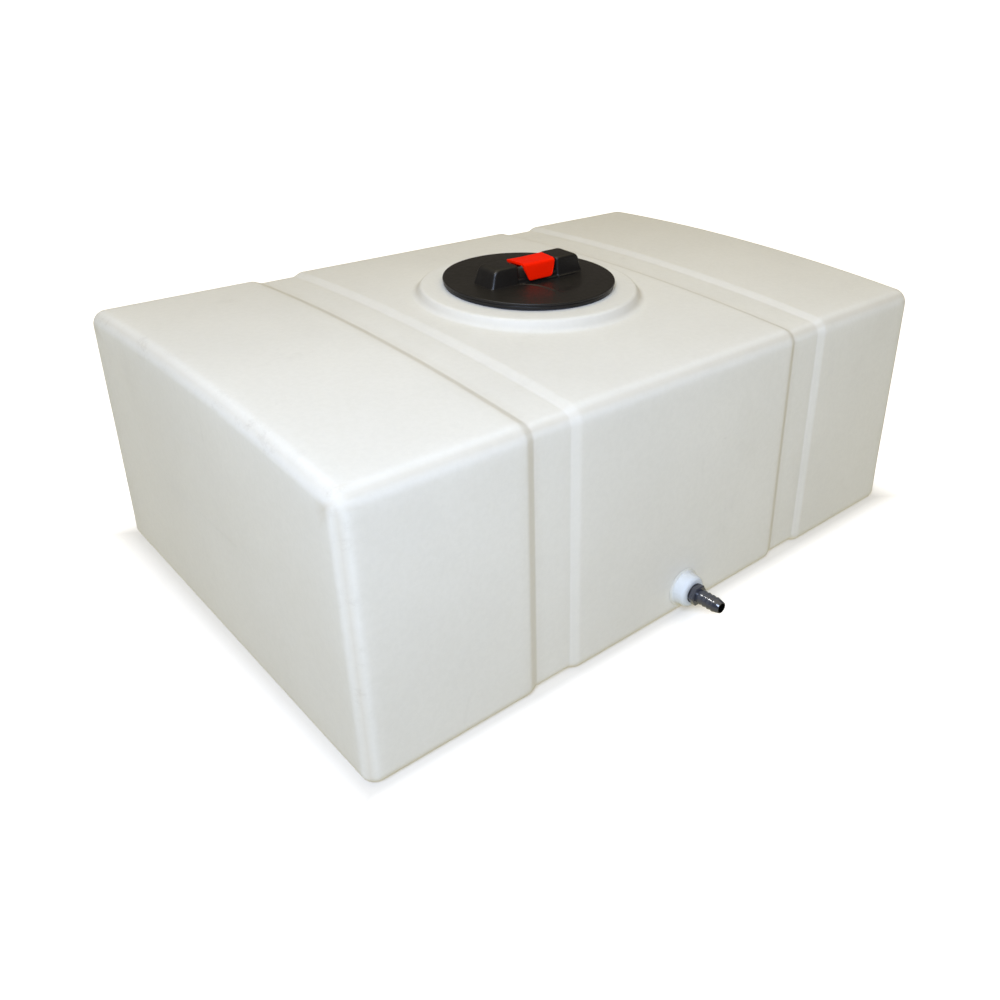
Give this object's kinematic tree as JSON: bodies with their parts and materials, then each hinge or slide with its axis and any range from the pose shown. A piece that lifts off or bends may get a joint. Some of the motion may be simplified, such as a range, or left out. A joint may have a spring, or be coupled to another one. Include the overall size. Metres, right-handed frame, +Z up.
{
  "type": "fresh water tank",
  "caption": "Flat moulded plastic water tank with strap recesses, a raised neck pad, a screw lid with a sprung safety catch, and a barbed hose outlet.",
  "frame": {"origin": "middle of the tank's underside", "axes": "+X along the tank's length, -Y out of the outlet face, +Z up through the lid"},
  "size_m": [0.9, 0.6631, 0.3791],
  "materials": {
    "tank_plastic": "natural translucent polyethylene with a fine moulded grain",
    "socket_plastic": "natural polyethylene, smooth",
    "black_plastic": "satin black polypropylene",
    "red_plastic": "bright orange-red polypropylene, satin",
    "black_rubber": "matt EPDM rubber",
    "silicone": "milky silicone",
    "grey_pvc": "dark blue-grey PVC, slightly glossy",
    "stainless": "plain stainless steel"
  },
  "bodies": {
    "tank": {"tank_shell": "tank_plastic", "neck_collar": "black_plastic", "collar_gasket": "black_rubber", "backing_ring": "black_plastic", "collar_screw_1": "stainless", "collar_screw_2": "stainless", "collar_screw_3": "stainless", "collar_screw_4": "stainless", "collar_screw_5": "stainless", "collar_screw_6": "stainless", "collar_screw_7": "stainless", "collar_screw_8": "stainless", "outlet_socket": "socket_plastic", "outlet_washer": "black_rubber", "hose_tail": "grey_pvc"},
    "seal": {"lid_seal": "black_rubber"},
    "lid": {"lid": "black_plastic", "catch_pin": "stainless", "catch_spring": "stainless", "vent_valve": "silicone"},
    "catch": {"safety_catch": "red_plastic"}
  },
  "joints": [
    {"name": "lid_lift", "type": "slide", "parent": "tank", "child": "seal", "axis": [0, 0, 1], "range_m": [0, 0.12]},
    {"name": "lid_turn", "type": "hinge", "parent": "seal", "child": "lid", "pos_m": [0, 0, 0.3516], "axis": [0, 0, 1], "range_deg": [0, 90]},
    {"name": "catch_lift", "type": "hinge", "parent": "lid", "child": "catch", "pos_m": [0, 0.009, 0.3711], "axis": [-1, 0, 0], "range_deg": [0, 35], "stiffness_Nm_per_rad": 0.05}
  ]
}
